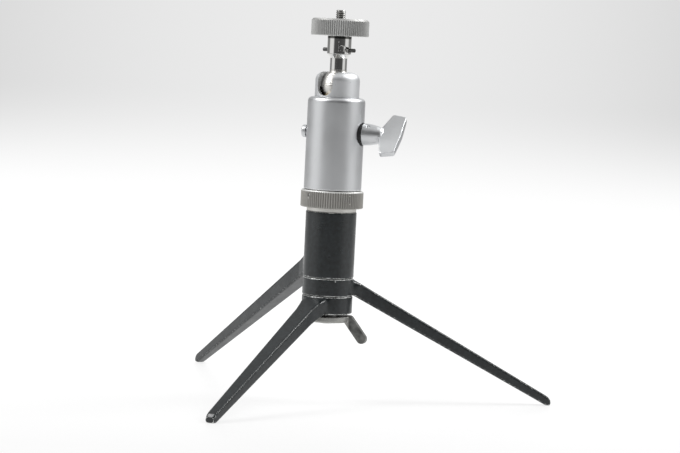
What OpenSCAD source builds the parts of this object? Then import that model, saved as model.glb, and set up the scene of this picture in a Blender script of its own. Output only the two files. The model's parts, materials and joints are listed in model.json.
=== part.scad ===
// Table tripod with a large ball head, for a camera with a 1/4 inch socket.
// Three legs swing round one column and nest under each other when folded.
// Z is the column's axis, z = 0 is the floor, and the numbers are millimetres and degrees.

/* [Column and legs] */
// Diameter of the column and of the two leg rings
column_d = 32; // [30:0.5:34]
// Height of the lowest ring's bottom face above the floor
hub_z = 56.4; // [52:0.1:62]
// Height of each leg ring
ring_h = 11; // [10:0.1:13]
// Height of the column above its two rings
column_h = 41.6; // [36:0.1:50]
// Slope of each leg's underside
leg_slope = 27.5; // [24:0.1:32]
// Height of the cast leg where it leaves the column
column_leg_h = 12; // [10:0.1:14]
// Height of a leg at its foot
foot_h = 6.3; // [5:0.1:7.5]
// Width of a leg where it leaves its ring
leg_w = 12.7; // [10:0.1:14]
// Width of a leg at its foot
foot_w = 6.8; // [5:0.1:9]
// Direction of the leg cast with the column
column_leg_az = 120; // [100:1:140]
// Direction of the leg on the middle ring
middle_leg_az = 10.5; // [-20:0.5:30]
// Direction of the leg on the lowest ring
lower_leg_az = 239; // [220:1:260]

/* [Clamping stud and wing nut] */
// Diameter of the stud, a 3/8 inch thread
stud_d = 9.52; // [9.4:0.01:9.6]
// Diameter of the wing nut's disc
nut_d = 30; // [27:0.5:31]
// Thickness of the wing nut's disc
nut_h = 3.7; // [3.4:0.1:4]
// Direction of the first wing
wing_az = -20; // [-40:1:0]

/* [Base of the head] */
// Wall of the base ring round the head's foot
ring_wall = 2.8; // [2.4:0.1:4]
// Grooves round the base ring
ring_grooves = 80; // [60:2:100]
// Height of the knurled base ring
knurl_ring_h = 10.75; // [10.5:0.05:12]
// Direction of the grub screw in the base ring
grub_az = -138; // [-160:1:-120]

/* [Housing and clamp] */
// Diameter of the housing, which sets the base ring, the neck and the ball
housing_d = 36.2; // [32:0.1:42]
// Wall of the housing
housing_wall = 2.6; // [2:0.1:3]
// Height of the housing
housing_h = 58.1; // [52:0.1:66]
// Depth of the clamp shaft under the housing's top
shaft_drop = 22.3; // [21.6:0.1:23]
// Direction in which the clamp shaft points to its knob
shaft_az = -17; // [-30:1:0]
// Turn of the knob's wings out of the vertical
knob_turn = 51; // [0:1:90]
// Span of the knob over its two wings
knob_span = 37.4; // [32:0.2:40]
// Length of the knob along its shaft
knob_l = 24.8; // [23:0.1:28]

/* [Ball, neck and stem] */
// Height of the ball's centre above the housing
ball_rise = 6.5; // [6.4:0.1:6.8]
// Width of the housing's shoulder round the neck
shoulder_w = 4.1; // [3.8:0.1:4.6]
// Thickness of the neck round the ball
neck_wall = 3; // [2.6:0.1:3.3]
// Height of the neck's rim above the ball's centre
neck_over = 9.2; // [9:0.1:9.6]
// Gap between the stem and each side of the neck's slot
slot_play = 0.35; // [0.3:0.05:0.6]
// Direction of the slot
slot_az = -127; // [-150:1:-90]
// Diameter of the stem
stem_d = 10.7; // [10.4:0.1:10.8]
// Length of the stem from the ball's shank to the lock sleeve
stem_l = 9.75; // [9:0.05:12]

/* [Camera platform] */
// Diameter of the knurled platform disc
disc_d = 36.2; // [32:0.1:40]
// Thickness of the platform disc
disc_h = 10.6; // [10:0.1:12]
// Grooves round the platform disc
disc_grooves = 84; // [60:2:100]
// Diameter of the camera screw, a 1/4 inch thread
screw_d = 6.35; // [6.3:0.01:6.35]
// Height of the camera screw above the platform
screw_rise = 5.5; // [4.5:0.1:6]
// Diameter of the lock sleeve under the platform
sleeve_d = 15.1; // [15:0.1:16]
// Height of the lock sleeve
sleeve_h = 11.1; // [11:0.1:12]
// Turn of the lock sleeve from locked to free
sleeve_turn = 44; // [30:1:50]
// Rise of the sleeve's cam slots over that turn
cam_rise = 1.2; // [0.8:0.1:1.4]
// Direction of the cross pin
pin_az = -35; // [-50:1:-20]
// Length of the cross pin
pin_l = 23.6; // [20:0.1:26]

/* [Hidden] */
$fn = 64;

// Clearances
run = 0.05;              // radial play of a turning or sliding fit
face = 0.05;             // play between two flat faces that turn on each other
free = 0.3;              // gap between surfaces that must never touch
cut = 1;                 // how far a cutter runs past the surface it cuts

// Column and leg rings
column_r = column_d / 2;
stud_r = stud_d / 2;
ring_pitch = ring_h + free;
middle_z = hub_z + ring_pitch;
column_z = middle_z + ring_pitch;
column_top = column_z + column_h;
ring_edge = 0.4;         // chamfer on the edges of the rings and the column
washer_r = 10;
washer_h = 1;
washer_seat = 0.2;       // depth to which a ring's own washer is let into it
stud_pin_r = 1.5;
stud_pin_az = 90;
stud_pin_rise = 20;      // height of the pin above the column's bottom face
stud_pin_z = column_z + stud_pin_rise;
stud_pin_sink = 0.6;     // how far the pin's outer end lies under the column's wall
stud_pin_past = 3;       // how far the pin goes into the column's far side

// Legs
leg_drop = 0.8;          // top of a leg's root below its ring's top face
leg_h = ring_h - leg_drop;
column_leg_lift = 2.2;   // cast leg's root above the column's bottom face
blend = [[-4, 5.3], [1.5, 3.7], [5, 1.6], [11, 0]]; // distance from the ring's wall, width added there
edge_r = 1.4;            // rounding of a leg's edges
foot_flat = 3;           // length of the flat that stands on the floor
toe_l = 1.6;             // length over which the top of the foot rounds off
toe_drop = [1, 3];       // how far the top has come down before and after that length
toe_in = [0.2, 1];       // how much the foot has narrowed there
slice = 0.02;            // thickness of the sections that a leg is drawn through

// Wing nut, its washers and the clip under it
nut_z = hub_z - 1.7 - nut_h;
nut_edge = 0.8;
nut_travel = 1.6;        // way that the nut unscrews before it meets the clip
thrust_washer_r = 11;
thrust_washer_h = 0.75;
spring_washer_r = 9;
spring_slit = 1.2;
clip_h = 0.8;
clip_w = 1.8;            // how far the clip stands out from the stud
clip_mouth = 4.4;        // opening of the clip
clip_depth = 0.8;        // depth of the clip's groove
clip_drop = 1;           // depth of the clip's underside below the nut
clip_z = nut_z - clip_drop;
stud_end = 0.4;          // length of the stud below its clip
stud_bottom = clip_z - stud_end;
recess_gap = 2;          // gap round the clip in the nut's recess
recess_r = stud_r + clip_w + recess_gap;
recess_h = clip_z + clip_h + nut_travel + free / 2 - nut_z;
wing_r = 3.35;           // radius of a wing's round ends
wing_t = 2.8;            // thickness of a wing
wing_start = [0.5, 2.3]; // a wing's inner end, out from the disc's rim and down from its top
wing_stop = [9.3, 13.1]; // its outer end
wing_root = [nut_d / 2 + wing_start[0], nut_z + nut_h - wing_start[1]];
wing_end = [nut_d / 2 + wing_stop[0], nut_z + nut_h - wing_stop[1]];

// Base of the head
flange_h = 2.4;
flange_step = 0.4;       // how far the flange is set in from the column's wall
flange_r = column_r - flange_step;
flange_top = column_top + flange_h;
ring_z = flange_top + face;
ring_top = ring_z + knurl_ring_h;
knurl_depth = 0.4;
knurl_edge = 0.4;        // chamfer under a knurled rim
ring_bevel = 0.9;        // chamfer over the base ring's knurl
web_h = 4.2;             // thickness of the base ring's floor
web_top = ring_z + web_h;
swivel_z = web_top + face;
swivel_h = 0.9;
base_z = swivel_z + swivel_h + face;
stud_over = 4.6;         // height of the stud above the base ring's floor
stud_top = web_top + stud_over;
stud_tip = 0.8;          // chamfer at the stud's top
stud_room = 1;           // gap round the stud's end inside the head
housing_r = housing_d / 2;
base_step = 1.5;         // how far the head's foot is set in under the housing
base_r = housing_r - base_step;
ring_r = base_r + free + ring_wall;
grub_r = 1;
grub_rise = 2.6;
grub_z = base_z + grub_rise;
grub_sink = 0.6;         // how far the grub screw lies under the knurl
groove_depth = 1.3;      // groove of the base plate that the grub screw runs in
groove_h = 2 * (grub_r + free);

// Housing and core
housing_z = ring_top + free;
housing_top = housing_z + housing_h;
bore_r = housing_r - housing_wall;
lip_h = 3;               // thickness of the housing's top wall
edge_round = 3;
core_rise = 8;           // height of the core above the housing's bottom edge
core_z = housing_z + core_rise;
flange_room = 5.3;       // height between the core and the housing's top wall
core_top = housing_top - lip_h - flange_room;
core_floor = 3;
core_wall = 5.5;
plunger_r = bore_r - core_wall;
base_screw_r = 1.5;
base_screw_head_r = 2.7;
base_screw_head_h = 2;
base_screw_sink = 0.2;
base_screw_in = 3.3;     // distance of a base screw from the core's outside
base_screw_out = bore_r - base_screw_in;
base_screw_deep = 5;     // how far it goes into the core
screw_slot = [0.7, 0.7]; // width and depth of the slot in its head

// Clamp shaft, knob and cap
shaft_z = housing_top - shaft_drop;
journal_r = 6;
tail_r = 2.8;
cam_r = 5;
cam_offset = 0.8;
cam_in = sqrt(pow(plunger_r - free, 2) - pow(cam_r + cam_offset, 2));
cam_out = plunger_r + free;
cam_play = 0.35;         // gap between the cam and the follower's window
hole_gap = 1.15;         // gap between the journal and the housing's hole, which the washer fills
hole_r = journal_r + hole_gap;
knob_gap = 0.5;          // gap between the housing and the knob
knob_root = housing_r + knob_gap;
knob_hub = [[6.7, 0], [7, 0.4], [6.6, 5], [5.6, 9.5], [4.6, 12], [0, 14]]; // radius, distance from root
knob_hub_r = knob_hub[1][0];
knob_bore_r = 4;
knob_bore_l = 8;
knob_pin_r = 1;
knob_pin_in = 4;         // distance of the knob's pin from its root
knob_pin_u = knob_root + knob_pin_in;
knob_pin_sink = 0.8;
knob_t = 4.6;            // thickness of the knob's wings
knob_edge = 1.6;         // rounding of the wings' corners
knob_tip_t = 3.2;        // their thickness at the tips
knob_waist = [3.4, 10.8]; // half width of the wings inside the hub, and that place
knob_side = [9.8, 0.8];  // the wings' inner and outer corners, back from the knob's end
knob_taper = 1.9;        // how much further out the inner corners reach
cap_r = 4;
cap_edge = 1.2;
cap_gap = 0.6;           // gap between the housing and the cap
cap_z = housing_r + cap_gap;
cap_l = 2.8;
cap_washer_h = 1.6;
tail_in = 0.5;           // how far the cap's spigot reaches into the housing's wall
tail_end = housing_r - tail_in;

// Neck, follower and pressure cup
neck_r = housing_r - shoulder_w;
neck_round = 0.38 * neck_r;
neck_flange_z = core_top + free;
neck_flange_h = 4;
neck_flange_top = neck_flange_z + neck_flange_h;
ball_r = neck_r - neck_wall;
ball_z = housing_top + ball_rise;
neck_top = ball_z + neck_over;
stem_r = stem_d / 2;
slot_w = stem_d + 2 * slot_play;
mouth_gap = 2.4;         // leaves the stem its lean away from the slot
mouth_r = stem_r + mouth_gap;
cup_wall = 1;            // the cup's wall at the ball's equator
cup_bore_r = ball_r + cup_wall;
window_r = cam_r + cam_offset + cam_play;
window_floor = 9.65;     // height of the follower under its window
window_roof = 1.85;      // height of the follower over its window
cup_z = shaft_z + window_r + window_roof;
cup_foot = 1.2;          // height of the cup's foot over the core
cup_step = core_top + cup_foot;
cup_rim_in = 5.8;        // depth of the cup's rim under the ball's centre
cup_rim = ball_z - cup_rim_in;
follower_z = shaft_z - window_r - window_floor;
follower_bore_r = 6;
follower_bore_l = 3;

// Stem, sleeve and platform
shank_in = 0.2;          // how far the ball's shank ends under the ball's top
shank_top = ball_z + ball_r - shank_in;
stem_pin_r = 3;
stem_pin_rise = 2.5;
stem_pin_z = ball_z + stem_pin_rise;
stem_pin_l = 10.8;
stem_pin_room = 0.5;
stem_hole_z = stem_pin_z - stem_pin_room;
sleeve_r = sleeve_d / 2;
sleeve_z = shank_top + stem_l;
cone_h = 2.5;
cone_top = sleeve_z - 2 * face;
sleeve_wall = 1.5;
spigot_r = sleeve_r - sleeve_wall;
spigot_cover = 3.3;      // height of the disc over the stem's spigot
spigot_l = disc_h - spigot_cover;
disc_r = disc_d / 2;
sleeve_gap = 0.2;        // gap between the sleeve and the disc
disc_z = sleeve_z + sleeve_h + sleeve_gap;
disc_top = disc_z + disc_h;
disc_bevel = 1.4;        // chamfer over the disc's knurl
screw_r = screw_d / 2;
screw_top = disc_top + screw_rise;
screw_in = 1;            // how far the camera screw reaches below the sleeve
screw_z = sleeve_z - screw_in;
screw_tip = 0.7;         // chamfer at the camera screw's top
screw_room = 1;          // room under the camera screw in the stem
relief_depth = 0.475;    // groove of the camera screw at the disc's face
relief_low = 0.6;
relief_high = 0.4;
pin_r = 1.2;
pin_rise = 2.5;          // height of the cross pin above the sleeve's bottom edge
pin_z = sleeve_z + pin_rise;

// A plain ring round Z
module washer(z, h, r_out, r_in) {
    translate([0, 0, z])
        difference() {
            cylinder(r = r_out, h = h);
            translate([0, 0, -cut]) cylinder(r = r_in, h = h + 2 * cut);
        }
}

// A hole or a pin along Z
module post(z, h, r) {
    translate([0, 0, z]) cylinder(r = r, h = h);
}

// A cylinder along Z whose bottom and top edges are chamfered
module drum(z, h, r, low, high) {
    rotate_extrude()
        polygon([[0, z], [r - low, z], [r, z + low], [r, z + h - high], [r - high, z + h], [0, z + h]]);
}

// Places its children at height z, with their own Z along the direction az
module along(z, az) {
    translate([0, 0, z]) rotate([0, 90, az]) children();
}

// A round bar at height z that lies along the direction az, from u to u + l
module bar(z, az, u, l, r) {
    along(z, az) translate([0, 0, u]) cylinder(r = r, h = l);
}

function knurl_points(grooves, r) = [
    for (i = [0:2 * grooves - 1])
        (r - (i % 2) * knurl_depth) * [cos(180 * i / grooves), sin(180 * i / grooves)]
];

// A V-knurled disc with chamfered rims
module knurled(z, h, r, grooves, low, high) {
    intersection() {
        translate([0, 0, z]) linear_extrude(h) polygon(knurl_points(grooves, r));
        rotate_extrude()
            polygon([
                [0, z], [r - low, z], [r + 0.01, z + low], [r + 0.01, z + h - high],
                [r - 0.8 * high, z + h], [0, z + h]
            ]);
    }
}

// One section of a leg: distance from the axis, width, bottom and top
module leg_section(s) {
    h = s[3] - s[2];
    e = min(edge_r, h / 2 - 0.1);
    translate([s[0], -s[1] / 2 + e, s[2] + e]) rotate([90, 0, 90])
        linear_extrude(slice) offset(r = e, $fn = 24) square([s[1] - 2 * e, h - 2 * e]);
}

// A leg from inside its ring to its foot, h high at the ring, where root is its underside's height
module leg(root, h) {
    reach = column_r + root / tan(leg_slope);
    span = reach - column_r;
    function low(r) = (reach - r) * tan(leg_slope);
    function high(r) = min(root + h, low(r) + foot_h + (h - foot_h) * (reach - r) / span);
    function width(r) = foot_w + (leg_w - foot_w) * (reach - r) / span;
    tip = reach + foot_flat;
    sections = concat(
        [for (b = blend) let (r = column_r + b[0]) [r, width(r) + b[1], low(r), high(r)]],
        [[reach, foot_w, 0, foot_h]],
        [for (i = [0, 1]) [tip - (1 - i) * toe_l, foot_w - toe_in[i], 0, foot_h - toe_drop[i]]]
    );
    for (i = [0:len(sections) - 2])
        hull() {
            leg_section(sections[i]);
            leg_section(sections[i + 1]);
        }
}

// A leg ring with its leg, its bore, the pocket for the washer above it and a seat for the one below
module leg_ring(z, az, has_seat) {
    pocket_z = z + ring_pitch - washer_h - face;
    difference() {
        union() {
            drum(z, ring_h, column_r, ring_edge, ring_edge);
            rotate([0, 0, az]) leg(z, leg_h);
        }
        post(z - cut, ring_h + 2 * cut, stud_r + run);
        post(pocket_z, washer_h + cut, washer_r + free);
        if (has_seat) post(z - cut, cut + washer_seat, washer_r);
    }
}

// A bar on the line of the stud's pin, from one distance behind the axis to another
module stud_pin_bar(from, to) {
    bar(stud_pin_z, stud_pin_az, from, to - from, stud_pin_r);
}

module column_leg() {
    color("#3b4143")
        difference() {
            union() {
                drum(column_z, column_h, column_r, ring_edge, ring_edge);
                rotate([0, 0, column_leg_az]) leg(column_z + column_leg_lift, column_leg_h);
            }
            post(column_z - cut, column_h + 2 * cut, stud_r);
            stud_pin_bar(-stud_r - stud_pin_past - free, column_r + cut);
        }
}

module top_flange() {
    color("#c9cbc8") washer(column_top, flange_h, flange_r, stud_r);
}

module centre_stud() {
    color("#8f9496")
        difference() {
            drum(stud_bottom, stud_top - stud_bottom, stud_r, 0, stud_tip);
            washer(clip_z, clip_h, stud_r + cut, stud_r - clip_depth);
            stud_pin_bar(-column_r, column_r);
        }
}

module stud_pin() {
    color("#8f9496") stud_pin_bar(-stud_r - stud_pin_past, column_r - stud_pin_sink);
}

module column_washer() {
    color("#6d5a3a") washer(column_z - washer_h, washer_h, washer_r, stud_r + run);
}

module stud_clip() {
    color("#54585a")
        difference() {
            washer(clip_z, clip_h, stud_r + clip_w, stud_r - clip_depth);
            translate([0, -clip_mouth / 2, clip_z - cut]) cube([stud_d, clip_mouth, clip_h + 2 * cut]);
        }
}

module middle_leg() {
    color("#3b4143") leg_ring(middle_z, middle_leg_az, true);
}

module ring_washer() {
    color("#6d5a3a") washer(middle_z - washer_h, washer_h + washer_seat, washer_r, stud_r + run);
}

module lower_leg() {
    color("#3b4143") leg_ring(hub_z, lower_leg_az, false);
}

module thrust_washer() {
    color("#2b2b2a") washer(hub_z - face - thrust_washer_h, thrust_washer_h, thrust_washer_r, stud_r + run);
}

module spring_washer() {
    bottom = nut_z + nut_h + face;
    height = hub_z - face - thrust_washer_h - bottom;
    color("#33322f")
        difference() {
            washer(bottom, height, spring_washer_r, stud_r + run);
            rotate([0, 0, 75]) translate([0, -spring_slit / 2, bottom - cut])
                cube([spring_washer_r + cut, spring_slit, height + 2 * cut]);
        }
}

// One wing, a flat plate with round ends that hangs outwards from the disc
module nut_wing() {
    rise = wing_root - wing_end;
    rotate([90, 0, 0]) translate([0, 0, -wing_t / 2]) linear_extrude(wing_t) {
        translate(wing_root) circle(r = wing_r);
        translate(wing_end) circle(r = wing_r);
        translate(wing_end) rotate(atan2(rise[1], rise[0]))
            translate([0, -wing_r]) square([norm(rise), 2 * wing_r]);
    }
}

module wing_nut() {
    color("#4a4c4b")
        difference() {
            union() {
                drum(nut_z, nut_h, nut_d / 2, nut_edge, 0);
                for (az = [wing_az, wing_az + 180]) rotate([0, 0, az]) nut_wing();
            }
            post(nut_z - cut, nut_h + 4 * cut, stud_r + run);
            post(nut_z - cut, recess_h + cut, recess_r);
        }
}

module swivel_washer() {
    color("#b08d4a") washer(swivel_z, swivel_h, base_r - 1, stud_r + stud_room);
}

module knurled_ring() {
    color("#8f8d86")
        difference() {
            knurled(ring_z, knurl_ring_h, ring_r, ring_grooves, knurl_edge, ring_bevel);
            post(ring_z - cut, knurl_ring_h, stud_r + run);
            post(web_top, knurl_ring_h, base_r + free);
            bar(grub_z, grub_az, base_r, ring_r, grub_r);
        }
}

module ring_grub() {
    start = base_r - groove_depth + free;
    color("#b9bab6") bar(grub_z, grub_az, start, ring_r - grub_sink - start, grub_r);
}

module base_plate() {
    color("#a5a8a8")
        difference() {
            union() {
                post(base_z, housing_z - base_z, base_r);
                post(housing_z, core_z - housing_z, bore_r);
            }
            post(base_z - cut, stud_top + core_floor - base_z + cut, stud_r + stud_room);
            washer(grub_z - groove_h / 2, groove_h, base_r + cut, base_r - groove_depth);
            for (side = [-1, 1]) translate([side * base_screw_out, 0, 0]) {
                post(base_z - cut, core_z - base_z + 2 * cut, base_screw_r);
                post(base_z - cut, cut + base_screw_sink + base_screw_head_h, base_screw_head_r + 2 * run);
            }
        }
}

// A cheese-head screw that holds the base plate to the core
module base_screw(side) {
    head_top = base_z + base_screw_sink + base_screw_head_h;
    color("#9b9d9e") translate([side * base_screw_out, 0, 0]) {
        difference() {
            post(base_z + base_screw_sink, base_screw_head_h, base_screw_head_r);
            translate([-base_screw_head_r - cut, -screw_slot[0] / 2, base_z])
                cube([2 * (base_screw_head_r + cut), screw_slot[0], base_screw_sink + screw_slot[1]]);
        }
        post(head_top, core_z + base_screw_deep - head_top, base_screw_r);
    }
}

module base_screw_1() {
    base_screw(-1);
}

module base_screw_2() {
    base_screw(1);
}

module housing() {
    color("#c3c6c8")
        difference() {
            rotate_extrude() {
                translate([0, housing_z]) square([housing_r, housing_h - edge_round]);
                translate([0, housing_z]) square([housing_r - edge_round, housing_h]);
                translate([housing_r - edge_round, housing_top - edge_round]) circle(r = edge_round);
            }
            post(housing_z - cut, housing_h - lip_h + cut, bore_r);
            post(housing_z, housing_h + cut, neck_r + run);
            bar(shaft_z, shaft_az, 0, housing_r + cut, hole_r);
            bar(shaft_z, shaft_az + 180, 0, housing_r + cut, cap_r + free);
        }
}

module core() {
    color("#9b9d9e")
        difference() {
            post(core_z, core_top - core_z, bore_r);
            post(core_z + core_floor, core_top - core_z, plunger_r);
            bar(shaft_z, shaft_az, 0, bore_r + cut, journal_r + run);
            bar(shaft_z, shaft_az + 180, 0, bore_r + cut, tail_r + run);
            for (side = [-1, 1]) translate([side * base_screw_out, 0, 0])
                post(core_z - cut, base_screw_deep + cut, base_screw_r);
        }
}

module neck_washer() {
    bottom = neck_flange_top + face;
    color("#6d5a3a") washer(bottom, housing_top - lip_h - face - bottom, bore_r - free, neck_r + free);
}

module knob_washer() {
    color("#141414") along(shaft_z, shaft_az)
        washer(bore_r, knob_root - bore_r - free, hole_r - 2 * run, journal_r + free);
}

module follower() {
    color("#8f9496")
        difference() {
            post(follower_z, cup_z - follower_z, plunger_r - run);
            bar(shaft_z, shaft_az, -plunger_r - cut, 2 * (plunger_r + cut), window_r);
            post(follower_z - cut, follower_bore_l + cut, follower_bore_r);
        }
}

module pressure_cup() {
    color("#b08d4a")
        difference() {
            union() {
                post(cup_z, cup_step - cup_z, plunger_r - run);
                post(cup_step, cup_rim - cup_step, cup_bore_r - run);
            }
            translate([0, 0, ball_z]) sphere(r = ball_r + run);
        }
}

// Places its children across the shaft at the knob's pin, with their own Z through the wings' flat side
module across_knob() {
    along(shaft_z, shaft_az) rotate([0, 0, -knob_turn]) rotate([90, 0, 0])
        translate([0, knob_pin_u, 0]) children();
}

module cam_shaft() {
    color("#8f9496")
        difference() {
            union() {
                bar(shaft_z, shaft_az, cam_out, knob_root - cam_out, journal_r);
                bar(shaft_z, shaft_az, cam_out, knob_root + knob_bore_l - cam_out, knob_bore_r);
                bar(shaft_z + cam_offset, shaft_az, -cam_in, cam_in + cam_out + cut, cam_r);
                bar(shaft_z, shaft_az, -tail_end, tail_end, tail_r);
            }
            across_knob() translate([0, 0, -knob_hub_r]) cylinder(r = knob_pin_r, h = 2 * knob_hub_r);
        }
}

// The wings' section across the shaft, thinner towards the tips
module knob_section() {
    half = knob_span / 2;
    side = [[-half, knob_tip_t / 2], [-knob_hub_r, knob_t / 2], [knob_hub_r, knob_t / 2], [half, knob_tip_t / 2]];
    polygon(concat(side, [for (i = [3:-1:0]) [side[i][0], -side[i][1]]]));
}

// Outline of the knob's two wings, with y outwards along the shaft
module knob_outline() {
    half = knob_span / 2;
    right = [knob_waist, [half, knob_l - knob_side[0]], [half - knob_taper, knob_l - knob_side[1]]];
    left = [for (i = [len(right) - 1:-1:0]) [-right[i][0], right[i][1]]];
    translate([0, knob_root]) offset(r = knob_edge, $fn = 48) offset(delta = -knob_edge)
        polygon(concat(right, [[0, knob_l]], left));
}

module clamp_knob() {
    color("#c3c6c8")
        difference() {
            along(shaft_z, shaft_az) {
                rotate_extrude() translate([0, knob_root]) polygon(concat([[0, 0]], knob_hub));
                rotate([0, 0, -knob_turn]) intersection() {
                    rotate([90, 0, 0]) translate([0, 0, -knob_t / 2]) linear_extrude(knob_t) knob_outline();
                    translate([0, 0, knob_root]) linear_extrude(knob_l) knob_section();
                }
            }
            bar(shaft_z, shaft_az, knob_root - cut, knob_bore_l + cut, knob_bore_r);
            across_knob() translate([0, 0, -knob_hub_r]) cylinder(r = knob_pin_r, h = 2 * knob_hub_r);
        }
}

module knob_pin() {
    length = 2 * (knob_hub_r - knob_pin_sink);
    color("#8f9496") across_knob() translate([0, 0, -length / 2]) cylinder(r = knob_pin_r, h = length);
}

module end_cap() {
    spigot = cap_r - cap_edge;
    color("#c3c6c8") along(shaft_z, shaft_az + 180)
        rotate_extrude() {
            translate([0, tail_end]) square([spigot, cap_z - tail_end]);
            translate([0, cap_z]) square([cap_r, cap_l - cap_edge]);
            translate([0, cap_z]) square([spigot, cap_l]);
            translate([spigot, cap_z + cap_l - cap_edge]) circle(r = cap_edge);
        }
}

module cap_washer() {
    color("#141414") along(shaft_z, shaft_az + 180) washer(bore_r + face, cap_washer_h, cap_r, tail_r);
}

module neck() {
    color("#c3c6c8")
        difference() {
            union() {
                rotate_extrude() {
                    translate([0, neck_flange_z]) square([neck_r, neck_top - neck_round - neck_flange_z]);
                    translate([0, neck_flange_z]) square([neck_r - neck_round, neck_top - neck_flange_z]);
                    translate([neck_r - neck_round, neck_top - neck_round]) circle(r = neck_round);
                }
                post(neck_flange_z, neck_flange_h, bore_r - free);
            }
            post(neck_flange_z - cut, ball_z - neck_flange_z + cut, cup_bore_r);
            translate([0, 0, ball_z]) sphere(r = ball_r + run);
            post(ball_z, neck_top, mouth_r);
            bar(ball_z, slot_az, 0, neck_r + cut, slot_w / 2);
            rotate([0, 0, slot_az]) translate([0, -slot_w / 2, ball_z])
                cube([neck_r + cut, slot_w, neck_over + cut]);
        }
}

module ball() {
    color("#b4b6b4")
        difference() {
            union() {
                translate([0, 0, ball_z]) sphere(r = ball_r);
                post(ball_z, shank_top - ball_z, stem_r);
            }
            post(stem_hole_z, ball_r, stem_pin_r + run);
        }
}

module stem() {
    cone_z = cone_top - cone_h;
    color("#b9bab6")
        difference() {
            union() {
                post(stem_pin_z, stem_pin_l, stem_pin_r);
                post(shank_top + face, cone_z - shank_top - face, stem_r);
                translate([0, 0, cone_z]) cylinder(r1 = stem_r, r2 = sleeve_r - run, h = cone_h);
                post(cone_top, disc_z + spigot_l - cone_top, spigot_r);
            }
            post(screw_z - screw_room, disc_top - screw_z, screw_r + run);
            for (rise = [0, cam_rise]) bar(pin_z + rise, pin_az, -sleeve_r, sleeve_d, pin_r + run);
            rotate([0, 0, pin_az]) translate([-sleeve_r, -pin_r - run, pin_z])
                cube([sleeve_d, 2 * (pin_r + run), cam_rise]);
        }
}

module platform_disc() {
    color("#9a988f")
        difference() {
            knurled(disc_z, disc_h, disc_r, disc_grooves, knurl_edge, disc_bevel);
            post(disc_z - cut, spigot_l + cut, spigot_r);
            post(disc_z, disc_h + cut, screw_r + run);
        }
}

// The sleeve's two cam slots are one chain of round cuts that climbs as it turns
module lock_sleeve() {
    steps = 8;
    color("#b9bab6")
        difference() {
            washer(sleeve_z, sleeve_h, sleeve_r, spigot_r + run);
            for (i = [0:steps])
                bar(pin_z + cam_rise * i / steps, pin_az - sleeve_turn * i / steps,
                    -sleeve_r - cut, sleeve_d + 2 * cut, pin_r + free);
        }
}

module cross_pin() {
    color("#8f9496") bar(pin_z, pin_az, -pin_l / 2, pin_l, pin_r);
}

module camera_screw() {
    color("#8f9496")
        difference() {
            drum(screw_z, screw_top - screw_z, screw_r, 0, screw_tip);
            washer(disc_top - relief_low, relief_low + relief_high, screw_r + cut, screw_r - relief_depth);
            bar(pin_z, pin_az, -screw_d, 2 * screw_d, pin_r);
        }
}

column_leg();
top_flange();
centre_stud();
stud_pin();
column_washer();
stud_clip();
middle_leg();
ring_washer();
lower_leg();
thrust_washer();
spring_washer();
wing_nut();
swivel_washer();
knurled_ring();
ring_grub();
base_plate();
base_screw_1();
base_screw_2();
housing();
core();
neck_washer();
knob_washer();
follower();
pressure_cup();
cam_shaft();
clamp_knob();
knob_pin();
end_cap();
cap_washer();
neck();
ball();
stem();
platform_disc();
lock_sleeve();
cross_pin();
camera_screw();
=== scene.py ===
"""The looks of a table tripod with a ball head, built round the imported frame. Lengths are in metres."""

import json
import math

import bmesh
import bpy
from mathutils import Matrix, Vector
from mathutils.kdtree import KDTree


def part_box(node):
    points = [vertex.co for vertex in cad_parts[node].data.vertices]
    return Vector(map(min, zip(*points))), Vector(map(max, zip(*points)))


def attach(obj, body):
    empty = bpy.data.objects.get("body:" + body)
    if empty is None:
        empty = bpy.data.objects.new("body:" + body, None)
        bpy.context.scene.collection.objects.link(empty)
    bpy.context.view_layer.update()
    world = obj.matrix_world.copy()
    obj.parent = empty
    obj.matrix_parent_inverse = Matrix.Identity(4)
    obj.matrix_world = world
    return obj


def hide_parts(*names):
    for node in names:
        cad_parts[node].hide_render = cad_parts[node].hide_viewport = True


MM = 0.001

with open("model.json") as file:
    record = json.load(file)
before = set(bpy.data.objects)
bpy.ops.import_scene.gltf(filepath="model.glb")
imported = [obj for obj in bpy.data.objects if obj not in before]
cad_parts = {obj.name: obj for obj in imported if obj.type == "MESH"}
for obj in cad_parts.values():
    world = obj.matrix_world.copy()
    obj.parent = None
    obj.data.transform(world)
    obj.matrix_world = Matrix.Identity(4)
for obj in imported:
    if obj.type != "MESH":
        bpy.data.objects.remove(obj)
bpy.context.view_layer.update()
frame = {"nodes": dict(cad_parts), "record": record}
nodes = frame["nodes"]
record = frame["record"]
body_of = {node: body for body, names in record["behaviour"]["bodies"].items() for node in names}
slot_of = {part["node"]: part["material_slot"] for part in record["subparts"]}

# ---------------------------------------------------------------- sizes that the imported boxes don't give

COLUMN_R = 16 * MM
RING_H = 11 * MM
RING_PITCH = 11.3 * MM          # from one leg's ring to the next
NUT_RIM_R = 15 * MM
SHANK_R = 5.35 * MM             # the low boss on the ball
SHANK_BORE_R = 3.05 * MM
SHANK_BORE_END = 2 * MM         # height of the bore's blind end over the ball's centre
SCREW_PITCH = 1.27 * MM         # 20 threads an inch
SCREW_TIP = 0.7 * MM
STUD_PITCH = 1.5875 * MM        # 16 threads an inch
STUD_TIP = 0.8 * MM
THREAD_DEPTH = 0.6 * MM
GROOVE_PITCH = 0.62 * MM        # of the turned grooves round the ball
GROOVE_DEPTH = 0.11 * MM
KNURL_DEPTH = 0.4 * MM
SLEEVE_SHADE_DEPTH = 1.5 * MM         # how far the painted shade under the platform disc reaches down from the lock sleeve's top

ring_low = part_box("knurled_ring")[0].z
washer_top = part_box("column_washer")[1].z
sleeve_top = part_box("lock_sleeve")[1].z


def rim_of(node):
    """Radius of a round node that stands on the Z axis."""
    low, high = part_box(node)
    return (high.x - low.x) / 2


# ---------------------------------------------------------------- materials

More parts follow.
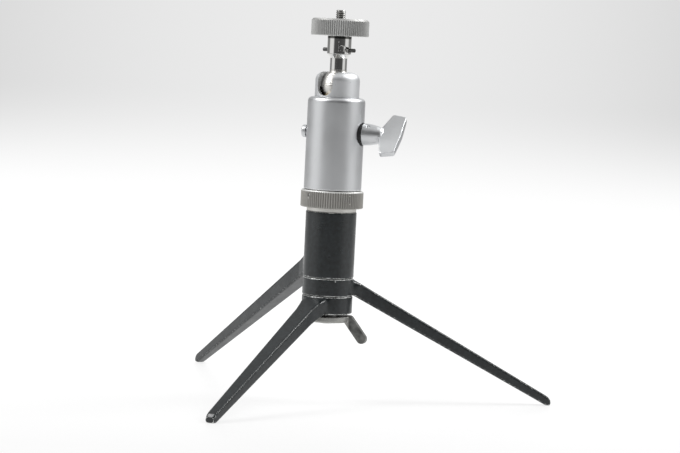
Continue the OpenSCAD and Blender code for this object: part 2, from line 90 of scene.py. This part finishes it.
PAINT_DARK = (0.0055, 0.0075, 0.0083)
PAINT_LIGHT = (0.014, 0.0188, 0.0208)
BARE_CASTING = (0.62, 0.63, 0.62)
ANODISED_TINT = (1, 1.016, 1.032)       # how the anodised metal's grey leans to blue
NICK = (0.16, 0.16, 0.16)
SPECK = (0.85, 0.84, 0.8)
CHROME = (0.66, 0.66, 0.645)
# dark grey painted on the lock sleeve's top as shade under the platform disc
SLEEVE_SHADE_TONE = (0.1, 0.1, 0.095)
DIMPLE = 1.1 * MM                       # size of the hammered paint's dimples
NOISE_SPAN = (0.3, 0.7)                 # what a noise node's values mostly lie between

# Small marks: direction in degrees, height and size
HUB_CHIPS = ((-142.3, washer_top + 0.5 * MM, 0.55 * MM), (-73.1, washer_top - 1.6 * MM, 0.45 * MM))
RING_SPECKS = (
    (-139.6, ring_low + 5.9 * MM, 0.5 * MM),
    (-55.7, ring_low + 8.3 * MM, 0.5 * MM),
    (-54.8, ring_low + 3.3 * MM, 0.45 * MM),
)


class Shading:
    """A node tree, with short calls for the nodes that go into it."""

    def __init__(self, tree):
        self.tree = tree

    def feed(self, socket, value):
        """Sets a socket, or links a node's output to it."""
        if isinstance(value, bpy.types.NodeSocket):
            self.tree.links.new(value, socket)
        else:
            socket.default_value = value

    def node(self, kind, values=(), **settings):
        made = self.tree.nodes.new(kind)
        for name, value in settings.items():
            setattr(made, name, value)
        for key, value in dict(values).items():
            self.feed(made.inputs[key], value)
        return made

    def math(self, operation, a, b=0.0):
        return self.node("ShaderNodeMath", {0: a, 1: b}, operation=operation).outputs["Value"]

    def band(self, value, low, high, out_low=0.0, out_high=1.0, kind="LINEAR"):
        """Maps value from low..high to out_low..out_high, clamped."""
        made = self.node("ShaderNodeMapRange", {
            "Value": value, "From Min": low, "From Max": high, "To Min": out_low, "To Max": out_high,
        }, interpolation_type=kind)
        return made.outputs["Result"]


class Finish(Shading):
    """A Principled material. Its colour, metallic and roughness stand in wherever its nodes are dropped."""

    def __init__(self, name, color, metallic, roughness):
        self.mat = bpy.data.materials.new(name)
        self.mat.use_nodes = True
        super().__init__(self.mat.node_tree)
        self.bsdf = self.tree.nodes["Principled BSDF"]
        self.set("Base Color", (*color, 1))
        self.set("Metallic", metallic)
        self.set("Roughness", roughness)
        self.place = self.node("ShaderNodeTexCoord").outputs["Object"]
        self.normal = None

    def set(self, socket, value):
        self.feed(self.bsdf.inputs[socket], value)

    def noise(self, size, detail=2.0, squeeze=(1, 1, 1)):
        """Noise whose blotches are about size across, stretched where squeeze is below 1."""
        place = self.node("ShaderNodeMapping", {"Vector": self.place, "Scale": squeeze}).outputs["Vector"]
        made = self.node("ShaderNodeTexNoise", {"Vector": place, "Scale": 1 / size, "Detail": detail})
        return made.outputs["Fac"]

    def mottle(self, size, low, high, detail=2.0):
        """Values that wander from low to high in blotches of about size."""
        return self.band(self.noise(size, detail), *NOISE_SPAN, low, high)

    def cells(self, size, feature="F1"):
        made = self.node("ShaderNodeTexVoronoi", {"Vector": self.place, "Scale": 1 / size}, feature=feature)
        return made.outputs["Distance"]

    def blend(self, factor, a, b):
        """The colour a where factor is 0, and b where it is 1."""
        made = self.node("ShaderNodeMix", {"Factor": factor}, data_type="RGBA")
        for index, value in ((6, a), (7, b)):
            linked = isinstance(value, bpy.types.NodeSocket)
            self.feed(made.inputs[index], value if linked else (*value, 1))
        return made.outputs[2]

    def radius(self):
        """Distance from the object's Z axis."""
        flat = self.node("ShaderNodeVectorMath", {0: self.place, 1: (1, 1, 0)}, operation="MULTIPLY")
        made = self.node("ShaderNodeVectorMath", {0: flat.outputs["Vector"]}, operation="LENGTH")
        return made.outputs["Value"]

    def height(self):
        return self.node("ShaderNodeSeparateXYZ", {"Vector": self.place}).outputs["Z"]

    def spot(self, azimuth, radius, z, size):
        """1 within size of a point on a round wall, fading to 0 outside."""
        a = math.radians(azimuth)
        centre = (radius * math.cos(a), radius * math.sin(a), z)
        away = self.node("ShaderNodeVectorMath", {0: self.place, 1: centre}, operation="DISTANCE")
        return self.band(away.outputs["Value"], 0.6 * size, size, 1.0, 0.0)

    def wear_and_sheen_mask(self, size, ragged, low, high):
        """Where the mesh's wear has rubbed through, with ragged edges of about size. On sharp ridges the same
        mark also paints in a highlight.
        """
        wear_and_sheen = self.node("ShaderNodeAttribute", attribute_name="wear_and_sheen").outputs["Fac"]
        return self.band(self.math("ADD", wear_and_sheen, self.mottle(size, *ragged, 4)), low, high)

    def bump(self, height, distance, strength=1.0):
        """Adds a bump over those that are there."""
        values = {"Height": height, "Distance": distance, "Strength": strength}
        if self.normal is not None:
            values["Normal"] = self.normal
        self.normal = self.node("ShaderNodeBump", values).outputs["Normal"]
        self.set("Normal", self.normal)


def hammered_paint():
    """Dark grey-green hammered enamel, rubbed through to the casting where a mesh says wear; on the legs'
    ridges that grey also paints in their highlight.
    """
    f = Finish("hammered_grey_paint", (0.02, 0.025, 0.027), 0.0, 0.3)
    paint = f.blend(f.band(f.noise(2.4 * MM, 3), 0.35, 0.68), PAINT_DARK, PAINT_LIGHT)
    # rubbed edges, and on the legs' ridges a painted highlight in the casting's grey
    chips_and_sheen = f.wear_and_sheen_mask(1.3 * MM, (-0.35, 0.3), 0.5, 0.72)
    for azimuth, z, size in HUB_CHIPS:
        chips_and_sheen = f.math("MAXIMUM", chips_and_sheen, f.spot(azimuth, COLUMN_R, z, size))
    f.set("Base Color", f.blend(chips_and_sheen, paint, BARE_CASTING))
    f.set("Metallic", f.math("MULTIPLY", chips_and_sheen, 0.35))
    f.set("Roughness", f.mottle(9 * MM, 0.26, 0.36))
    f.bump(f.cells(DIMPLE, "SMOOTH_F1"), 0.06 * MM, 0.45)
    f.bump(f.noise(0.5 * MM), 0.02 * MM, 0.3)
    return f.mat


def satin_aluminium(name, low, high, roughness):
    """Bead-blasted and anodised, with a few dark nicks. low and high are its darkest and lightest grey."""
    f = Finish(name, (high, high, high), 1.0, roughness)
    smudge = f.noise(14 * MM, 3)
    nicks = f.band(f.cells(3.4 * MM), 0.035, 0.05)
    nicked_parts = f.band(f.noise(6 * MM), 0.6, 0.62)
    clean = f.math("MAXIMUM", nicks, f.math("SUBTRACT", 1.0, nicked_parts))
    metal = f.blend(smudge, [low * c for c in ANODISED_TINT], [high * c for c in ANODISED_TINT])
    f.set("Base Color", f.blend(clean, NICK, metal))
    f.set("Roughness", f.band(smudge, *NOISE_SPAN, roughness - 0.03, roughness + 0.03))
    f.bump(f.noise(0.16 * MM, 3), 0.008 * MM, 0.3)
    return f.mat


def knurled_aluminium(node, bevel_h, light, dark, bare, specks=()):
    """Turned and knurled, dark with grime between the ridges. Its top bevel, bevel_h high, is cut bare and has
    a colour of its own, which on the knurled ring is pale enough to paint in the highlight along it.
    """
    rim = rim_of(node)
    low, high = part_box(node)
    f = Finish(node + "_metal", light, 0.85, 0.52)
    ridge = f.band(f.radius(), rim - KNURL_DEPTH, rim - 0.05 * MM)
    bevel_at = f.band(f.height(), high.z - bevel_h - 0.15 * MM, high.z - bevel_h + 0.15 * MM)
    foot = f.band(f.height(), low.z + 0.45 * MM, low.z + 0.7 * MM, 1.0, 0.0)
    clean = f.math("MAXIMUM", ridge, f.math("MAXIMUM", bevel_at, foot))
    metal = f.blend(f.noise(5 * MM, 3), [0.86 * c for c in light], light)
    # the top bevel's own colour, a painted highlight on the knurled ring
    shade = f.blend(bevel_at, f.blend(clean, dark, metal), bare)
    for azimuth, z, size in specks:
        shade = f.blend(f.spot(azimuth, rim, z, size), shade, SPECK)
    f.set("Base Color", shade)
    f.set("Roughness", f.mottle(3 * MM, 0.52, 0.64))
    f.bump(f.noise(0.3 * MM, 3), 0.01 * MM, 0.4)
    return f.mat


def chrome(name, shaded_above=None):
    """Polished chrome, darkened above a height where one is given, as painted shade under the platform disc."""
    f = Finish(name, CHROME, 1.0, 0.08)
    if shaded_above is not None:
        # painted shade: a dark band above the given height
        shade_band = f.band(f.height(), shaded_above - 0.3 * MM, shaded_above + 0.2 * MM)
        f.set("Base Color", f.blend(shade_band, CHROME, SLEEVE_SHADE_TONE))
    f.set("Roughness", f.band(f.noise(4 * MM, 4), 0.35, 0.75, 0.05, 0.13))
    f.bump(f.noise(0.8 * MM, 2, (1, 1, 0.15)), 0.004 * MM, 0.3)
    return f.mat


def turned_steel():
    """Steel with fine turning rings along its height."""
    f = Finish("turned_steel", (0.36, 0.36, 0.35), 1.0, 0.26)
    f.set("Base Color", f.blend(f.noise(5 * MM, 3), (0.3, 0.297, 0.287), (0.42, 0.42, 0.41)))
    f.set("Roughness", f.mottle(1.2 * MM, 0.2, 0.34, 3))
    f.bump(f.noise(0.25 * MM, 2, (0.04, 0.04, 1)), 0.01 * MM, 0.5)
    return f.mat


def ball_steel():
    """The ball's bright steel, smeared with a little grease."""
    f = Finish("ball_steel", (0.66, 0.65, 0.62), 1.0, 0.3)
    f.set("Base Color", f.blend(f.noise(3 * MM, 4), (0.5, 0.49, 0.46), (0.76, 0.75, 0.73)))
    f.set("Roughness", f.mottle(2 * MM, 0.24, 0.4, 3))
    return f.mat


def pin_steel():
    """The cross pin: near white where the lock sleeve guards it, as a painted highlight, and nearly black where
    it stands out.
    """
    f = Finish("pin_steel", (0.1, 0.1, 0.1), 0.6, 0.35)
    rim = rim_of("lock_sleeve")
    outside = f.band(f.radius(), rim - 0.3 * MM, rim + 0.2 * MM)
    black = f.blend(f.noise(2 * MM, 3), (0.04, 0.04, 0.04), (0.11, 0.11, 0.108))
    # near white inside the sleeve is a painted highlight
    f.set("Base Color", f.blend(outside, (0.9, 0.9, 0.88), black))
    return f.mat


def bright_flange():
    """Turned aluminium, with its fine rings left by the tool."""
    f = Finish("bright_flange", (0.7, 0.69, 0.66), 0.75, 0.5)
    f.set("Base Color", f.blend(f.noise(4 * MM, 3), (0.6, 0.59, 0.56), (0.8, 0.79, 0.76)))
    f.bump(f.noise(0.2 * MM, 2, (0.04, 0.04, 1)), 0.008 * MM, 0.4)
    return f.mat


def worn_nut():
    """Dark enamel rubbed back to grey metal in patches and along its edges, and lighter grey over the whole
    disc.
    """
    f = Finish("worn_nut", (0.09, 0.09, 0.088), 0.2, 0.42)
    patches = f.math("MULTIPLY", f.band(f.noise(5 * MM, 5), 0.44, 0.62), 0.35)
    edges = f.math("MULTIPLY", f.wear_and_sheen_mask(1.5 * MM, (-0.4, 0.3), 0.45, 0.75), 0.85)
    disc = f.band(f.radius(), NUT_RIM_R + 0.2 * MM, NUT_RIM_R + 1.2 * MM, 0.85, 0.0)
    greyed = f.math("MAXIMUM", f.math("MAXIMUM", patches, edges), disc)
    f.set("Base Color", f.blend(greyed, (0.075, 0.076, 0.072), (0.42, 0.42, 0.40)))
    f.set("Metallic", f.band(greyed, 0.0, 1.0, 0.3, 0.5))
    f.set("Roughness", f.mottle(2 * MM, 0.36, 0.52, 3))
    f.bump(f.cells(DIMPLE, "SMOOTH_F1"), 0.05 * MM, 0.4)
    return f.mat


def dull_brass():
    """Brass gone brown in blotches."""
    f = Finish("dull_brass", (0.5, 0.37, 0.17), 1.0, 0.38)
    f.set("Base Color", f.blend(f.noise(4 * MM, 4), (0.3, 0.21, 0.1), (0.56, 0.43, 0.21)))
    f.bump(f.noise(0.3 * MM, 2), 0.01 * MM, 0.4)
    return f.mat


def black_fibre():
    """Matt black washer fibre."""
    f = Finish("black_fibre", (0.012, 0.012, 0.013), 0.0, 0.6)
    f.set("Base Color", f.blend(f.noise(1.5 * MM, 3), (0.008, 0.008, 0.009), (0.02, 0.02, 0.021)))
    f.bump(f.noise(0.2 * MM, 3), 0.02 * MM, 0.5)
    return f.mat


FINISH_OF_SLOT = {
    "grey_paint": hammered_paint(),
    "satin_aluminium": satin_aluminium("satin_aluminium", 0.59, 0.66, 0.41),
    "chrome": chrome("chrome"),
    "steel": turned_steel(),
    "bare_flange": bright_flange(),
    "worn_nut": worn_nut(),
    "brass": dull_brass(),
    "black_fibre": black_fibre(),
}
FINISH_OF_NODE = {
    # the knurled ring's third colour, for its top bevel, is pale to paint in the highlight along it
    "knurled_ring": knurled_aluminium(
        "knurled_ring", 0.9 * MM, (0.45, 0.44, 0.415), (0.23, 0.223, 0.21), (0.66, 0.66, 0.645), RING_SPECKS),
    "platform_disc": knurled_aluminium(
        "platform_disc", 1.4 * MM, (0.57, 0.575, 0.565), (0.32, 0.32, 0.312), (0.42, 0.42, 0.412)),
    # a lighter copy of the satin aluminium, painting in the light on the neck
    "neck": satin_aluminium("neck_aluminium_painted_light", 0.7, 0.76, 0.5),
    "knob_pin": FINISH_OF_SLOT["satin_aluminium"],
    # the sleeve's top is darkened with painted shade under the platform disc
    "lock_sleeve": chrome("sleeve_chrome", sleeve_top - SLEEVE_SHADE_DEPTH),
    "cross_pin": pin_steel(),
    "ball": ball_steel(),
}


def finish_of(node):
    return FINISH_OF_NODE.get(node) or FINISH_OF_SLOT[slot_of[node]]


# ---------------------------------------------------------------- meshes


def join_corners(mesh):
    """Joins the doubled corners that the import leaves between faces, and drops the normals stored on them."""
    work = bmesh.new()
    work.from_mesh(mesh)
    bmesh.ops.remove_doubles(work, verts=work.verts, dist=0.001 * MM)
    work.to_mesh(mesh)
    work.free()
    if mesh.has_custom_normals:
        mesh.attributes.remove(mesh.attributes["custom_normal"])


def place_mesh(name, mesh):
    """A new object in the scene, with this mesh."""
    piece = bpy.data.objects.new(name, mesh)
    bpy.context.scene.collection.objects.link(piece)
    return piece


def new_mesh(name, points, faces):
    mesh = bpy.data.meshes.new(name)
    mesh.from_pydata(points, [], faces)
    mesh.update()
    return place_mesh(name, mesh)


def stand_in(piece, node):
    """Makes a piece ride with the node's body and stand for it, in the node's finish."""
    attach(piece, body_of[node])
    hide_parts(node)
    piece.data.materials.clear()
    piece.data.materials.append(finish_of(node))
    return piece


def copy_of(node, name):
    """A new piece with the node's shape, which stands for it."""
    mesh = nodes[node].data.copy()
    mesh.name = name
    join_corners(mesh)
    return stand_in(place_mesh(name, mesh), node)


def smooth(mesh, angle=None):
    """Shades a mesh smooth, but for the edges sharper than angle where one is given."""
    mesh.polygons.foreach_set("use_smooth", [True] * len(mesh.polygons))
    if angle is not None:
        mesh.set_sharp_from_angle(angle=math.radians(angle))


def apply(piece):
    """Makes what the piece's modifiers do a part of its mesh."""
    graph = bpy.context.evaluated_depsgraph_get()
    made = bpy.data.meshes.new_from_object(piece.evaluated_get(graph))
    old = piece.data
    piece.modifiers.clear()
    piece.data = made
    made.name = piece.name
    bpy.data.meshes.remove(old)


def machined(node, name, width):
    """A turned or milled piece: the node's shape with its edges broken by a bevel of this width."""
    piece = copy_of(node, name)
    smooth(piece.data, 30)
    edges = piece.modifiers.new("edges", "BEVEL")
    edges.width = width
    edges.segments = 2
    edges.limit_method = "ANGLE"
    edges.angle_limit = math.radians(35)
    edges.use_clamp_overlap = True
    edges.harden_normals = True


def on_circle(radius, z, index, around):
    """The point with this index, out of the points around a circle on the Z axis."""
    angle = 2 * math.pi * index / around
    return (radius * math.cos(angle), radius * math.sin(angle), z)


def lathe(name, profile, around):
    """A closed round body along Z, from the (radius, z) pairs of its profile."""
    points = [on_circle(radius, z, i, around) for radius, z in profile for i in range(around)]
    last = (len(profile) - 1) * around
    faces = []
    for row in range(0, last, around):
        for i in range(around):
            k = (i + 1) % around
            faces.append((row + i, row + k, row + around + k, row + around + i))
    faces.append(tuple(reversed(range(around))))
    faces.append(tuple(last + i for i in range(around)))
    return new_mesh(name, points, faces)


def threaded(node, name, pitch, tip):
    """A threaded rod over the node's own length, with chamfered tips. Its rows of points follow the helix."""
    low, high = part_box(node)
    crest = rim_of(node)
    around, rows = 48, 10       # points in a turn, and rows in a pitch
    count = math.ceil((high.z - low.z) / pitch * rows) + rows
    points = []
    for j in range(count + 1):
        depth = THREAD_DEPTH * min(1, max(0, 2.5 * abs(j % rows / rows - 0.5) - 0.1))
        for i in range(around):
            z = min(max(low.z + pitch * ((j - rows) / rows + i / around), low.z), high.z)
            radius = min(crest - depth, crest - tip + z - low.z, crest - tip + high.z - z)
            points.append(on_circle(radius, z, i, around))
    # the last point of a row joins the first of the row a whole turn higher
    faces = []
    for j in range(count):
        for i in range(around):
            n = j * around + i
            k = n + 1 if i < around - 1 else (j + rows) * around
            if k + around < len(points):
                faces.append((n, k, k + around, n + around))
    piece = new_mesh(name, points, faces)
    cap_ends(piece.data, (low.z, high.z))
    smooth(piece.data, 50)
    stand_in(piece, node)


def level_with(z, verts):
    return all(abs(v.co.z - z) < 1e-7 for v in verts)


def cap_ends(mesh, ends):
    """Clears the points that were pressed flat at a rod's ends, and caps it there."""
    work = bmesh.new()
    work.from_mesh(mesh)
    for end in ends:
        flat = [v for v in work.verts if level_with(end, [v])]
        for face in [f for f in work.faces if level_with(end, f.verts)]:
            work.faces.remove(face)
        middle = work.verts.new((0, 0, end))
        for edge in [e for e in work.edges if len(e.link_faces) == 1 and level_with(end, e.verts)]:
            work.faces.new((edge.verts[0], edge.verts[1], middle))
        for vert in flat:
            if not vert.link_faces:
                work.verts.remove(vert)
    bmesh.ops.recalc_face_normals(work, faces=work.faces)
    work.to_mesh(mesh)
    work.free()


def grooved_ball(node, name):
    """The ball turned with fine grooves round it, its low boss and the bore that takes the stem's pin."""
    low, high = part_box(node)
    radius = rim_of(node)
    centre = low.z + radius
    steps = 150
    last = math.acos(math.sqrt(radius ** 2 - SHANK_R ** 2) / radius)
    profile = []
    for k in range(1, steps + 1):
        angle = math.pi - (math.pi - last) * k / steps
        cut_in = GROOVE_DEPTH * (0.5 - 0.5 * math.cos(2 * math.pi * angle * radius / GROOVE_PITCH))
        profile.append(((radius - cut_in) * math.sin(angle), centre + (radius - cut_in) * math.cos(angle)))
    profile += [(SHANK_R, high.z), (SHANK_BORE_R, high.z), (SHANK_BORE_R, centre + SHANK_BORE_END)]
    piece = lathe(name, profile, 96)
    smooth(piece.data, 40)
    stand_in(piece, node)


# ---------------------------------------------------------------- castings

# Each leg: the bottom and the top of its ring, and its azimuth in degrees
LEGS = {
    "column_leg": (washer_top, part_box("top_flange")[0].z, 120),
    "middle_leg": (washer_top - RING_PITCH, washer_top - RING_PITCH + RING_H, 10.5),
    "lower_leg": (washer_top - 2 * RING_PITCH, washer_top - 2 * RING_PITCH + RING_H, 239),
}
HOLLOW = -120           # bend per metre under which a cast edge counts as hollow

# Where a leg may be blended into its ring: how far to each side, out from the column's wall and up,
# and how far it stays clear of the ring's two rims
ROOT_HALF_WIDTH = 15 * MM
ROOT_OUT = (-0.4 * MM, 9 * MM)
ROOT_H = 17 * MM
BOTTOM_RIM = 0.7 * MM
TOP_RIM = 0.9 * MM
BLEND_FULL, BLEND_END = 2 * MM, 5 * MM      # distance from the hollow edge at which the blend is full, and over


def fade(value, near, far):
    """1 below near, 0 above far and smooth between them."""
    t = min(1, max(0, (value - near) / (far - near)))
    return 1 - t * t * (3 - 2 * t)


def in_root(node, point):
    """Whether a point lies where a leg runs into its ring, clear of the ring's rims."""
    bottom, top, azimuth = LEGS[node]
    a = math.radians(azimuth)
    along = point.x * math.cos(a) + point.y * math.sin(a)
    across = abs(point.y * math.cos(a) - point.x * math.sin(a))
    out = math.hypot(point.x, point.y) - COLUMN_R
    in_width = along > 0 and across < ROOT_HALF_WIDTH and ROOT_OUT[0] < out < ROOT_OUT[1]
    return in_width and bottom + BOTTOM_RIM < point.z < min(top - TOP_RIM, bottom + ROOT_H)


def convexity(mesh):
    """For each point, how sharply the surface turns away round it, per metre."""
    work = bmesh.new()
    work.from_mesh(mesh)
    bends = []
    for v in work.verts:
        ways = [e.other_vert(v).co - v.co for e in v.link_edges]
        bends.append(-sum(w.dot(v.normal) / max(w.length_squared, 1e-12) for w in ways) / max(1, len(ways)))
    work.free()
    return bends


def mark_wear_and_sheen(mesh, soft, hard):
    """Stores how worn each point is: from none at the bend soft to bare at hard. On sharp ridges the same mark
    also stands for a painted highlight.
    """
    wear_and_sheen = mesh.attributes.new("wear_and_sheen", "FLOAT", "POINT")
    for bend, value in zip(convexity(mesh), wear_and_sheen.data):
        value.value = 1 - fade(bend, soft, hard)


def soften(piece, passes, group=""):
    """Adds a modifier that draws the points of a group, or all of them, towards their neighbours."""
    modifier = piece.modifiers.new("soften", "SMOOTH")
    modifier.factor = 0.5
    modifier.iterations = passes
    modifier.vertex_group = group


def blend_root(piece, node):
    """Fills the hollow edge between a leg and its ring into a smooth sweep."""
    verts = piece.data.vertices
    hollows = [v.co for v, bend in zip(verts, convexity(piece.data)) if bend < HOLLOW and in_root(node, v.co)]
    near = KDTree(len(hollows))
    for i, place in enumerate(hollows):
        near.insert(place, i)
    near.balance()
    group = piece.vertex_groups.new(name="root")
    for v in verts:
        if in_root(node, v.co):
            weight = fade(near.find(v.co)[2], BLEND_FULL, BLEND_END)
            if weight > 0.01:
                group.add([v.index], weight, "REPLACE")
    soften(piece, 200, "root")
    apply(piece)


def cast(node, name, voxel, passes, soft, hard):
    """A casting: the node's shape with its edges flowed round, and a leg blended into its ring."""
    piece = copy_of(node, name)
    remesh = piece.modifiers.new("skin", "REMESH")
    remesh.mode = "VOXEL"
    remesh.voxel_size = voxel
    soften(piece, passes)
    apply(piece)
    if node in LEGS:
        blend_root(piece, node)
    smooth(piece.data)
    mark_wear_and_sheen(piece.data, soft, hard)


# Each casting: its piece, the fineness of its mesh in mm, how many times it is softened,
# and the bends per metre at which wear begins and is bare; the legs' are set low, so their ridges also take the
# casting's grey as a painted highlight
CASTINGS = {
    "column_leg": ("column_leg_casting", 0.43, 3, 140, 360),
    "middle_leg": ("middle_leg_casting", 0.38, 3, 140, 360),
    "lower_leg": ("lower_leg_casting", 0.38, 3, 140, 360),
    "wing_nut": ("wing_nut_casting", 0.3, 4, 200, 480),
    "housing": ("housing_piece", 0.5, 1, 250, 600),
    "clamp_knob": ("clamp_knob_casting", 0.3, 4, 250, 600),
}
for node, (name, voxel, passes, soft, hard) in CASTINGS.items():
    cast(node, name, voxel * MM, passes, soft, hard)

# ---------------------------------------------------------------- everything else

# The width of each machined node's broken edges, in mm
EDGES = {
    "top_flange": 0.35, "column_washer": 0.1, "ring_washer": 0.1, "thrust_washer": 0.12,
    "spring_washer": 0.1, "stud_clip": 0.1, "stud_pin": 0.2, "swivel_washer": 0.1, "ring_grub": 0.15,
    "base_plate": 0.3, "base_screw_1": 0.15, "base_screw_2": 0.15, "core": 0.3,
    "neck_washer": 0.1, "knob_washer": 0.15, "follower": 0.2, "pressure_cup": 0.1, "cam_shaft": 0.25,
    "knob_pin": 0.15, "end_cap": 0.12, "cap_washer": 0.08, "neck": 0.35,
    "stem": 0.1, "lock_sleeve": 0.2, "cross_pin": 0.3, "knurled_ring": 0.06, "platform_disc": 0.06,
}
for node, width in EDGES.items():
    machined(node, node + "_piece", width * MM)

threaded("camera_screw", "camera_screw_thread", SCREW_PITCH, SCREW_TIP)
threaded("centre_stud", "centre_stud_thread", STUD_PITCH, STUD_TIP)
grooved_ball("ball", "ball_piece")

# ---------------------------------------------------------------- camera

CAMERA_AT = Vector((0, -1.4808, 0.2268))
CAMERA_YAW = math.radians(0.2285)
CAMERA_TILT = math.radians(-4.4718)
CAMERA_ROLL = math.radians(2.8012)
LENS_MM = 124.8
SENSOR_MM = 36


def add_camera():
    forward = Vector((
        math.sin(CAMERA_YAW) * math.cos(CAMERA_TILT),
        math.cos(CAMERA_YAW) * math.cos(CAMERA_TILT),
        math.sin(CAMERA_TILT),
    ))
    level = Vector((math.cos(CAMERA_YAW), -math.sin(CAMERA_YAW), 0))
    upright = level.cross(forward)
    right = level * math.cos(CAMERA_ROLL) + upright * math.sin(CAMERA_ROLL)
    up = upright * math.cos(CAMERA_ROLL) - level * math.sin(CAMERA_ROLL)
    data = bpy.data.cameras.new("camera")
    data.sensor_width = SENSOR_MM
    data.lens = LENS_MM
    data.clip_start = 0.05
    camera = bpy.data.objects.new("camera", data)
    axes = Matrix((right, up, -forward)).transposed().to_4x4()
    camera.matrix_world = Matrix.Translation(CAMERA_AT) @ axes
    bpy.context.scene.collection.objects.link(camera)
    bpy.context.scene.camera = camera


# ---------------------------------------------------------------- floor, backdrop and light

FLOOR_R = 1.45
GLOW_FRONT = 0.7                # the floor's own glow in front of the object
GLOW_BACK = 0.84                # and behind it
GLOW_DEPTH = (-0.2, 0.32)       # Y over which it goes from the one to the other
GLOW_RING = (0.3, 0.8)          # radius over which it rises to the back's all round

BACKDROP = 1.02                 # its tone low down
BACKDROP_RISE = (-0.072, -0.02) # the direction's height over which it falls off
BACKDROP_FALL = (0.19, 0.31)    # how much it falls off, in the middle and at the sides
BACKDROP_SIDE = (0.0, 0.021)    # the square of the direction's X at those two

# The room: direction from the viewer's side round to the right, in degrees, and how bright it is there
ROOM = (
    (-178, 0.85), (-160, 0.6), (-146, 0.3), (-108, 0.28), (-97, 1.0), (-60, 1.0), (-48, 0.1),
    (0, 0.07), (52, 0.1), (63, 0.95), (92, 0.95), (104, 0.28), (146, 0.3), (160, 0.6), (178, 0.85),
)
ROOM_SCALE = 2.0                # the ramp of tones holds them divided by this
CEILING = 0.66
CEILING_RISE = (0.6, 0.9)       # the direction's height over which the walls become the ceiling

# Each soft box: azimuth (0 is the viewer's side, 90 is +X), distance, height and power in watts
LIGHTS = {
    "left_box": (-81, 0.86, 1.08, 8.6),
    "right_box": (108, 0.82, 1.1, 10.6),
}
LIGHT_SIZE = 0.5
LIGHT_AIM = Vector((0, 0, 0.12))


def add_floor():
    """A white table top, a little greyer in front of the object. Most of its white is its own glow."""
    f = Finish("floor_white", (0.18, 0.18, 0.18), 0.0, 0.5)
    f.set("Specular IOR Level", 0.1)
    y = f.node("ShaderNodeSeparateXYZ", {"Vector": f.place}).outputs["Y"]
    near = f.band(y, *GLOW_DEPTH, GLOW_FRONT, GLOW_BACK)
    f.set("Emission Color", (1, 1, 1, 1))
    f.set("Emission Strength", f.math("MAXIMUM", near, f.band(f.radius(), *GLOW_RING, 0.0, GLOW_BACK)))
    around = 96
    points = [on_circle(FLOOR_R, 0, i, around) for i in range(around)]
    floor = new_mesh("floor", points, [tuple(range(around))])
    floor.data.materials.append(f.mat)


def add_light(name, azimuth, distance, height, power):
    """A soft box that the camera doesn't see."""
    data = bpy.data.lights.new(name, "AREA")
    data.shape = "RECTANGLE"
    data.size = data.size_y = LIGHT_SIZE
    data.energy = power
    light = bpy.data.objects.new(name, data)
    a = math.radians(azimuth)
    light.location = (distance * math.sin(a), -distance * math.cos(a), height)
    light.rotation_euler = (LIGHT_AIM - light.location).to_track_quat("-Z", "Y").to_euler()
    light.visible_camera = False
    bpy.context.scene.collection.objects.link(light)


def add_world():
    """Pale to the camera; in reflections bright behind the object and dark in front of it."""
    world = bpy.data.worlds.new("studio")
    world.use_nodes = True
    bpy.context.scene.world = world
    world.node_tree.nodes.clear()
    w = Shading(world.node_tree)
    direction = w.node("ShaderNodeTexCoord").outputs["Generated"]
    way = w.node("ShaderNodeSeparateXYZ", {"Vector": direction}).outputs
    x, y, z = way["X"], way["Y"], way["Z"]

    # the backdrop as the camera sees it: white low down, light grey above and a little darker at the sides
    rise = w.band(z, *BACKDROP_RISE, kind="SMOOTHSTEP")
    fall = w.band(w.math("MULTIPLY", x, x), *BACKDROP_SIDE, *BACKDROP_FALL)
    shown = w.math("SUBTRACT", BACKDROP, w.math("MULTIPLY", rise, fall))

    # the room as the object mirrors it, by direction from the viewer's side round to the right
    turn = w.math("DIVIDE", w.math("ARCTAN2", x, w.math("MULTIPLY", y, -1.0)), 2 * math.pi)
    ramp = w.node("ShaderNodeValToRGB", {"Fac": w.math("ADD", turn, 0.5)})
    stops = ramp.color_ramp.elements
    stops.remove(stops[1])
    for azimuth, tone in ROOM:
        place = azimuth / 360 + 0.5
        stop = stops[0] if azimuth == ROOM[0][0] else stops.new(place)
        stop.position = place
        stop.color = (*[tone / ROOM_SCALE] * 3, 1)
    grey = w.node("ShaderNodeRGBToBW", {"Color": ramp.outputs["Color"]}).outputs["Val"]
    walls = w.math("MULTIPLY", grey, ROOM_SCALE)
    overhead = w.band(z, *CEILING_RISE, kind="SMOOTHSTEP")
    room = w.node("ShaderNodeMix", {"Factor": overhead, "A": walls, "B": CEILING}, data_type="FLOAT")

    seen = w.node("ShaderNodeLightPath").outputs["Is Camera Ray"]
    mix = w.node("ShaderNodeMix", {"Factor": seen, "A": room.outputs["Result"], "B": shown}, data_type="FLOAT")
    background = w.node("ShaderNodeBackground", {"Color": mix.outputs["Result"], "Strength": 1.0})
    w.node("ShaderNodeOutputWorld", {"Surface": background.outputs["Background"]})


add_camera()
add_floor()
add_world()
for name, placing in LIGHTS.items():
    add_light(name, *placing)
bpy.context.scene.view_settings.view_transform = "Standard"
